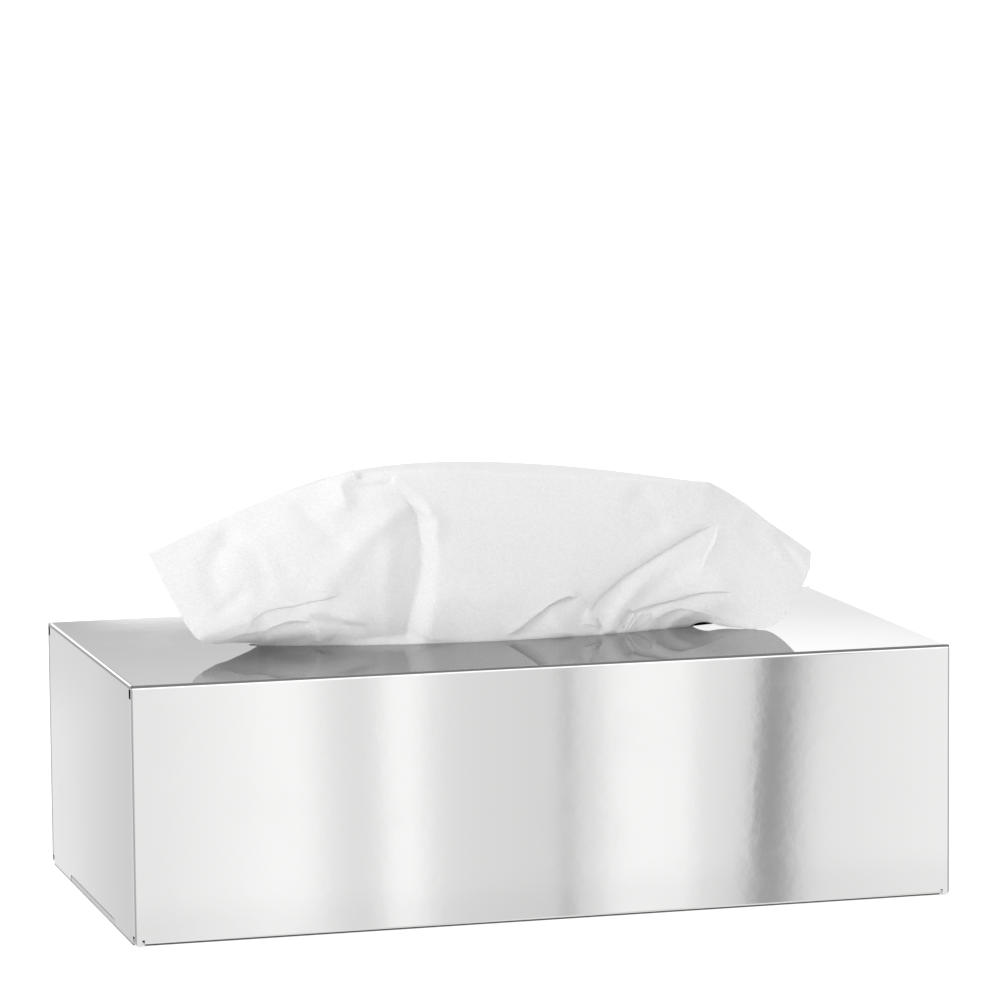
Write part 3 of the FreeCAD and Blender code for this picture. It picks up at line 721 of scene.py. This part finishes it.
def lengthShares(poles, across):
    # share of the sheet's length at even steps over its grid, across it or along it
    s = tissueSettings
    lengths, before = [0.0], None
    for i in range(s["patternSteps"] + 1):
        share = i / s["patternSteps"] - 0.5
        flatPlace = Vector((share, s["patternRow"], 0)) if across else Vector((0, share, 0))
        place = sheetPlace(poles, flatPlace)
        if before is not None:
            lengths.append(lengths[-1] + (place - before).length)
        before = place
    return [length / lengths[-1] for length in lengths]


def shareAt(shares, place):
    step = min(max(place, 0.0), 1.0) * (len(shares) - 1)
    i = min(int(step), len(shares) - 2)
    return shares[i] + (shares[i + 1] - shares[i]) * (step - i)


def besideFold(place, reach):
    x, z = place.x / mm, (place.z - topOfCover) / mm
    return z > 0 and any(inReach(x, z, course, reach) and nearestOnCourse(x, z, course)[0] < reach
                         for course in crispCourses)


def flatSheet(poles):
    # the sheet laid out flat, with smaller cells where crisp folds will come
    s = tissueSettings
    bm = bmesh.new()
    bm.loops.layers.uv.new("sheet")
    bmesh.ops.create_grid(bm, x_segments=s["acrossCells"],
                          y_segments=s["flatCells"] + s["turnCells"] + s["drawnCells"],
                          size=0.5, calc_uvs=True)
    for reach in s["fineReach"]:
        near = [face for face in bm.faces
                if besideFold(sheetPlace(poles, face.calc_center_median()), reach)]
        edges = {edge for face in near for edge in face.edges}
        bmesh.ops.subdivide_edges(bm, edges=list(edges), cuts=1, use_grid_fill=True)
    return bm


def mapSheet(bm, poles):
    # the sheet's own map, by true lengths across and along
    sheetMap = bm.loops.layers.uv["sheet"]
    acrossShares, alongShares = lengthShares(poles, True), lengthShares(poles, False)
    for face in bm.faces:
        for loop in face.loops:
            flatPlace = loop.vert.co
            loop[sheetMap].uv = (shareAt(acrossShares, flatPlace.x + 0.5),
                                 shareAt(alongShares, flatPlace.y + 0.5))


def makeDrawnTissue():
    s = tissueSettings
    poles = sheetPoles()
    bm = flatSheet(poles)
    mapSheet(bm, poles)
    shares = [(vert.co.x + 0.5, alongPlace(vert.co.y + 0.5)) for vert in bm.verts]
    for vert in bm.verts:
        vert.co = sheetPlace(poles, vert.co)
    bm.normal_update()
    moved = [foldedPlace(vert.co, vert.normal, across, along)
             for vert, (across, along) in zip(bm.verts, shares)]
    for vert, place in zip(bm.verts, moved):
        vert.co = place
    for i in range(s["smoothing"]):
        bmesh.ops.smooth_vert(bm, verts=bm.verts, factor=0.5,
                              use_axis_x=True, use_axis_y=True, use_axis_z=True)
    for face in bm.faces:
        face.smooth = True
    for edge in bm.edges:
        inside = len(edge.link_faces) == 2
        edge.smooth = inside and edge.calc_face_angle() < math.radians(s["sharpFrom"])
    tissue = newPiece("drawn_tissue", bm)
    solid = tissue.modifiers.new("thickness", "SOLIDIFY")
    solid.thickness = s["thickness"]
    solid.offset = 0.0
    return tissue


paperFinish = {"Roughness": 0.92, "Specular IOR Level": 0.15}

tissuePaperSettings = {
    "light": 0.955,
    "shaded": 0.865,
    "back": 0.90,              # colour of what comes through the sheet
    "through": 0.36,           # and how much of it
    "fibreScales": (420.0, 150.0, 1.0),
    "crepeScales": (26.0, 300.0, 1.0),
    "grainScale": 1700.0,
    "grainLimits": (0.4, 0.6),
    "cloudScale": 60.0,
    "cloudLimits": (0.3, 0.75),
    "cloudShade": 0.12,        # how much each darkens the paper
    "fibreShade": 0.15,
    "grainShade": 0.6,
    "dotShade": 0.12,
    "crepeRelief": 0.7,        # how much each stands out beside the fibres
    "grainRelief": 1.6,
    "dotRelief": 0.3,
    "reliefDepth": 0.08 * mm,
    "embossPitch": 1.1,        # mm between the embossed dots of the two bands, across and along
    "band": (0.405, 0.415, 0.45, 0.46),     # from the sheet's middle, as shares of its width
}


def softTissue(name):
    s = tissuePaperSettings
    material, tree = newMaterial(name)
    sheet = tree.where("UV")
    place = tree.where("Object")
    fibres = tree.stretchedNoise(sheet, s["fibreScales"], 4.0, 0.65)
    crepe = tree.stretchedNoise(sheet, s["crepeScales"])
    grain = tree.noise(place, s["grainScale"], 1.0)
    clouds = tree.noise(place, s["cloudScale"], 3.0)

    across, along = tree.parts(sheet)[:2]
    turn = 2 * math.pi / s["embossPitch"]
    x = across * (tissueSettings["flat"][0] / mm * turn)
    y = along * (tissueSettings["flat"][1] / mm * turn)
    dots = ((x + y) * 0.5).sine() * ((x - y) * 0.5).sine() * abs(across - 0.5).between(*s["band"])

    shade = (clouds.step(*s["cloudLimits"]) * s["cloudShade"] + fibres * s["fibreShade"]
             + grain.step(*s["grainLimits"]) * s["grainShade"] + dots * s["dotShade"])
    tone = tree.blend(shade.clamped(), grey(s["light"]), grey(s["shaded"]))
    relief = (fibres + crepe * s["crepeRelief"] + grain * s["grainRelief"]
              + dots * s["dotRelief"])
    form = tree.bump(relief, s["reliefDepth"])
    face = tree.add("ShaderNodeBsdfPrincipled", None, {
        "Base Color": tone, "Normal": form, **paperFinish})
    back = tree.add("ShaderNodeBsdfTranslucent", None, {"Color": grey(s["back"]), "Normal": form})
    tree.surface(tree.add("ShaderNodeMixShader", None, [
        s["through"], face.outputs[0], back.outputs[0]]))
    return material


tissue = makeDrawnTissue()
giveMaterial(tissue, softTissue("white_tissue"))
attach(tissue, "cover")
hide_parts("pulled_tissue")
print("tissue drawn up", len(tissue.data.polygons))


stackSettings = {
    "leaves": 36,              # folds on a side
    "lengthCells": 90,
    "foldDepth": 0.9 * mm,     # from a fold's round edge to the gap between two
    "waver": 0.33 * mm,        # of a leaf's edge along the stack
    "waverTurns": 31,          # radians in a metre
    "endWaver": 0.25 * mm,     # of the leaves' ends, from leaf to leaf and across the stack
    "endTurns": (9, 60),
    "light": 0.92,
    "cloudColor": (0.86, 0.865, 0.87),
    "cloudScale": 40.0,
    # painted shade in the gaps between the leaves: its grey, and where on each leaf's wave it falls
    "gap": 0.70,
    "gapShadeLimits": (-1.0, -0.4),
    "fibreScale": 900.0,
    "leafRelief": 0.4,
    "fibreRelief": 0.3,
    "reliefDepth": 0.2 * mm,
}


def foldedEdge(x, level, side, phases):
    # how far a long side stands back: round folds, each wavering on its own
    s = stackSettings
    turn = level + (0.5 if side < 0 else 0.0)
    fold = abs(math.sin(math.pi * turn))
    leaf = int(turn) * 2 + (1 if side < 0 else 0)
    drift = 0.5 + 0.5 * math.sin(s["waverTurns"] * x + phases[leaf])
    return s["foldDepth"] * (1 - fold) ** 2 + s["waver"] * drift


def makeStack():
    s = stackSettings
    rng = random.Random(7)
    size = stackHigh - stackLow
    middle = (stackLow + stackHigh) / 2
    bm = bmesh.new()
    bmesh.ops.create_cube(bm, size=1.0)
    bmesh.ops.scale(bm, vec=size, verts=bm.verts)
    bmesh.ops.translate(bm, vec=middle, verts=bm.verts)
    upright = [e for e in bm.edges if abs(e.verts[0].co.z - e.verts[1].co.z) > size.z / 2]
    bmesh.ops.subdivide_edges(bm, edges=upright, cuts=4 * s["leaves"] - 1, use_grid_fill=True)
    lengthwise = [e for e in bm.edges if abs(e.verts[0].co.x - e.verts[1].co.x) > size.x / 2]
    bmesh.ops.subdivide_edges(bm, edges=lengthwise, cuts=s["lengthCells"] - 1, use_grid_fill=True)
    phases = [rng.uniform(0, 6.28) for i in range(2 * s["leaves"] + 2)]
    pitch = size.z / s["leaves"]
    levelTurns, crossTurns = s["endTurns"]
    nearly = 1e-6              # a vertex this close to a face of the block lies on it
    for vert in bm.verts:
        level = (vert.co.z - stackLow.z) / pitch
        if abs(vert.co.y - middle.y) > size.y / 2 - nearly:
            side = 1 if vert.co.y > middle.y else -1
            vert.co.y -= side * foldedEdge(vert.co.x, level, side, phases)
        if abs(vert.co.x - middle.x) > size.x / 2 - nearly:
            end = 1 if vert.co.x > middle.x else -1
            wave = 1 + math.sin(levelTurns * level + crossTurns * vert.co.y)
            vert.co.x -= end * s["endWaver"] * wave
    for face in bm.faces:
        face.smooth = abs(face.normal.z) < 0.9     # all but the flat top and bottom
    return newPiece("interfolded_stack", bm)


def stackedPaper():
    s = stackSettings
    material, tree = newMaterial("stack_tissue")
    place = tree.where("Object")
    z = tree.parts(place)[2]
    leaves = (z * (4 * math.pi * s["leaves"] / (stackHigh.z - stackLow.z))).sine()
    fibres = tree.noise(place, s["fibreScale"], 3.0, 0.6)
    clouds = tree.noise(place, s["cloudScale"], 3.0)
    paper = tree.blend(clouds, grey(s["light"]), shaded(s["cloudColor"]))
    tree.principled({
        # the gaps between the leaves get a painted shade
        "Base Color": tree.blend(leaves.step(*s["gapShadeLimits"]), grey(s["gap"]), paper),
        "Normal": tree.bump(leaves * s["leafRelief"] + fibres * s["fibreRelief"],
                            s["reliefDepth"]),
        **paperFinish,
    })
    return material


stack = makeStack()
giveMaterial(stack, stackedPaper())
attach(stack, "base")
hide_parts("tissue_stack")
print("stack laid", len(stack.data.polygons))


# the room that polished steel mirrors, with heights and turns in degrees; a turn is towards +X,
# from straight behind the box or, before it, from straight ahead
roomSettings = {
    "brightest": 2.0,          # both ramps of bands hold shares of this
    "frontTones": [            # what the front wall shows: place along it in mm, tone to 255
        (-130, 229), (-100, 240), (-90, 245), (-80, 245), (-74, 237), (-70, 228),
        (-64, 222), (-60, 221), (-56, 227), (-51, 245), (-44, 246), (-39, 233), (-34, 222),
        (-26, 217), (-12, 214), (1, 212), (5, 186), (8.5, 214), (15, 224), (20, 239), (26, 245),
        (44, 243), (50, 227), (60, 220), (65.5, 213), (69, 159), (72, 145), (76, 156), (80, 186),
        (85, 216), (91, 226), (130, 236)],
    "leanFrom": -10.15,        # bands to the right of these turns lean over from this height up
    "leanTurns": (17.3, 17.9),
    "leanShare": 0.04,
    "frontSide": (-0.1, 0.1),  # where the room before the box gives way to the one behind
    "steep": (0.207, 0.2145),  # slightly darker past this slope, as the wall's foot shows
    "steepShade": 0.06,
    "frontRise": (4, 12),      # the front brightens from here up
    "frontGlow": 0.85,
    "frontAside": (28, 36),    # but less beyond these turns
    "asideShade": 0.75,
    "beamPlace": (0.27, 0.30),           # a dark beam overhead: its middle and half width in x
    "beamEdge": (0.0, 0.35),
    "frontBeam": (38, 46),
    "frontBeamShade": 0.78,
    "backBeam": (11, 14),
    "backBeamShade": 0.76,
    "backTurns": (-40, 40),
    "backTones": [             # share of those turns, share of the brightest
        (0.0, 0.66), (0.355, 0.66), (0.361, 0.62), (0.3715, 0.84), (0.40, 0.86), (0.5, 0.86),
        (0.60, 0.57), (0.63, 0.55), (0.66, 0.56), (0.70, 0.79), (0.722, 0.97), (0.74, 0.965),
        (0.752, 0.93), (0.80, 0.75), (1.0, 0.75)],
    "rising": (7.0, 8.0, 9.5, 11.0),     # the back grows brighter with height here
    "risingFrom": 8.75,
    "risingShare": 0.3,
    "bandHeights": (7.6, 7.9, 8.44, 8.51),      # a bright band at the back, fading to the right
    "bandTurns": (10.3, 11.2),
    "bandTone": 1.88,
    "bandFading": (14, 18),
    "bandLoss": 0.29,
    "lowHeights": (-9.8, -8.7, -7.0, -6.0),     # a slight shade low at the back
    "lowTurns": (-10.9, -10.2),
    "lowShade": 0.12,
    "glowHeights": (9.5, 13, 25, 35),    # a soft glow at the back on the left
    "glowTurns": (-5, 12),
    "glow": 1.4,
    "leftHeights": (-7.5, -5.5, 7, 9),   # a shade further left, where the end wall looks
    "leftTurns": (-15, 4.5),
    "leftEdge": (0, 0.5),
    "leftShade": 0.42,
    "behindDepth": (2, 4),     # below this and beyond these turns the back is like the front
    "behindTurns": (22, 25),
    "ceilingRise": (42, 60),   # soft light from above, which the polished top throws back up
    "ceilingSide": (-0.15, 0.0),
    "ceiling": 1.8,
    "wallHeights": (4, 10, 35, 50),      # the room's left wall
    "wallSide": (0.7, 0.95),
    "wall": 0.4,
    "floorDepth": (45, 60),    # nearly black underfoot
    "floorShade": 0.9,
    "plain": 1.0,              # what shows behind the box, and through it
    "ambient": 1.13,           # light that all but mirror-like surfaces get
}


def linear(tone):
    c = tone / 255
    return c / 12.92 if c <= 0.04045 else ((c + 0.055) / 1.055) ** 2.4


def wallTurn(x):
    # where the front wall at x looks, in degrees from straight ahead of it
    cameraX, cameraY = cameraSettings["place"][:2]
    return math.degrees(math.atan2(x * mm - cameraX, coverLow.y - cameraY))


def frontBands(tree, turn):
    # the upright bands that the front wall shows, repeated in mirror image beyond its ends
    s = roomSettings
    tones = s["frontTones"]
    start, end = wallTurn(tones[0][0]), wallTurn(tones[-1][0])
    stops = [((wallTurn(place) - start) / (end - start),
              linear(tone) / coverSettings["color"][0] / s["brightest"])
             for place, tone in tones]
    share = ((turn - start) / (end - start)).math("PINGPONG", 1.0)
    return tree.ramp(share, stops) * s["brightest"]


def roomInFront(tree, x, y, z, height, turn, lean):
    s = roomSettings
    steep = abs(z / y).step(*s["steep"])
    aside = abs(turn).step(*s["frontAside"])
    glow = height.step(*s["frontRise"]) * (s["frontGlow"] - aside * s["asideShade"])
    light = frontBands(tree, turn - lean) * (1 - steep * s["steepShade"]) + glow
    beam = x.hump(*s["beamPlace"]).step(*s["beamEdge"]) * height.step(*s["frontBeam"])
    return light * (1 - beam * s["frontBeamShade"])


def roomBehind(tree, x, height, turn, lean):
    s = roomSettings
    start, end = s["backTurns"]
    light = tree.ramp((turn - start) / (end - start), s["backTones"]) * s["brightest"]
    light = light * (1 + (height - s["risingFrom"]) * s["risingShare"]
                     * height.between(*s["rising"]))
    band = height.between(*s["bandHeights"]) * turn.step(*s["bandTurns"])
    bandTone = s["bandTone"] - turn.step(*s["bandFading"]) * s["bandLoss"]
    light = light * (1 - band) + bandTone * band
    low = height.between(*s["lowHeights"]) * turn.step(*s["lowTurns"])
    beam = x.hump(*s["beamPlace"]).step(*s["beamEdge"]) * height.step(*s["backBeam"])
    left = height.between(*s["leftHeights"]) * turn.hump(*s["leftTurns"]).step(*s["leftEdge"])
    for shade, share in ((low, "lowShade"), (beam, "backBeamShade"), (left, "leftShade")):
        light = light * (1 - shade * s[share])
    light = light + height.between(*s["glowHeights"]) * turn.hump(*s["glowTurns"]) * s["glow"]
    behind = (-height).step(*s["behindDepth"]) * abs(turn).step(*s["behindTurns"])
    return light * (1 - behind) + frontBands(tree, abs(turn) - lean) * behind


def mirroredRoom(tree):
    s = roomSettings
    x, y, z = tree.parts(tree.where("Generated"))
    height = z.math("ARCSINE").degrees()
    frontTurn = x.math("ARCTAN2", -y).degrees()
    backTurn = x.math("ARCTAN2", y).degrees()
    lean = (height - s["leanFrom"]) * s["leanShare"] * frontTurn.step(*s["leanTurns"])
    inFront = (-y).step(*s["frontSide"])
    light = (roomBehind(tree, x, height, backTurn, lean) * (1 - inFront)
             + roomInFront(tree, x, y, z, height, frontTurn, lean) * inFront)
    ceiling = height.step(*s["ceilingRise"]) * (1 - x.step(*s["ceilingSide"]))
    wall = height.between(*s["wallHeights"]) * (-x).step(*s["wallSide"])
    light = light + ceiling * s["ceiling"] + wall * s["wall"]
    return light * (1 - (-height).step(*s["floorDepth"]) * s["floorShade"])


def makeWorld():
    s = roomSettings
    world = bpy.data.worlds.new("studio_surround")
    bpy.context.scene.world = world
    tree = Tree(world)
    path = tree.add("ShaderNodeLightPath")
    mirrored = Sock(tree, path.outputs["Is Glossy Ray"])
    seen = Sock(tree, path.outputs["Is Camera Ray"]).most(
        Sock(tree, path.outputs["Is Transmission Ray"]))
    lit = mirrored * mirroredRoom(tree) + (1 - mirrored) * s["ambient"]
    background = tree.add("ShaderNodeBackground", None, {
        "Color": grey(1.0), "Strength": seen * s["plain"] + (1 - seen) * lit})
    tree.add("ShaderNodeOutputWorld", None, {"Surface": background.outputs[0]})


floorSettings = {"halfSize": 30.0, "color": 0.8, "glow": 0.5}


def makeFloor():
    s = floorSettings
    bm = bmesh.new()
    bmesh.ops.create_grid(bm, x_segments=1, y_segments=1, size=s["halfSize"])
    floor = newPiece("studio_floor", bm)
    floor.visible_glossy = False
    material, tree = newMaterial("studio_floor")
    path = tree.add("ShaderNodeLightPath")
    matt = tree.add("ShaderNodeBsdfDiffuse", None, {"Color": grey(s["color"])})
    glow = tree.add("ShaderNodeEmission", None, {"Color": grey(1.0), "Strength": s["glow"]})
    # the glow is for the eye alone and throws no light on the object
    bright = tree.add("ShaderNodeAddShader", None, [matt.outputs[0], glow.outputs[0]])
    tree.surface(tree.add("ShaderNodeMixShader", None, [
        path.outputs["Is Camera Ray"], matt.outputs[0], bright.outputs[0]]))
    giveMaterial(floor, material)


lampSettings = {
    "place": (-1.23, -0.40, 0.26),
    "aim": (0, 0, 0.1),
    "size": 0.3,
    "power": 5.5,
}


def makeKeyLamp():
    s = lampSettings
    data = bpy.data.lights.new("key_lamp", "AREA")
    data.shape = "SQUARE"
    data.size = s["size"]
    data.energy = s["power"]
    lamp = bpy.data.objects.new("key_lamp", data)
    bpy.context.scene.collection.objects.link(lamp)
    lamp.location = s["place"]
    aim = Vector(s["aim"]) - Vector(s["place"])
    lamp.rotation_euler = aim.to_track_quat("-Z", "Y").to_euler()
    lamp.visible_glossy = False
    lamp.visible_camera = False


makeWorld()
makeFloor()
makeKeyLamp()
print("studio lit")
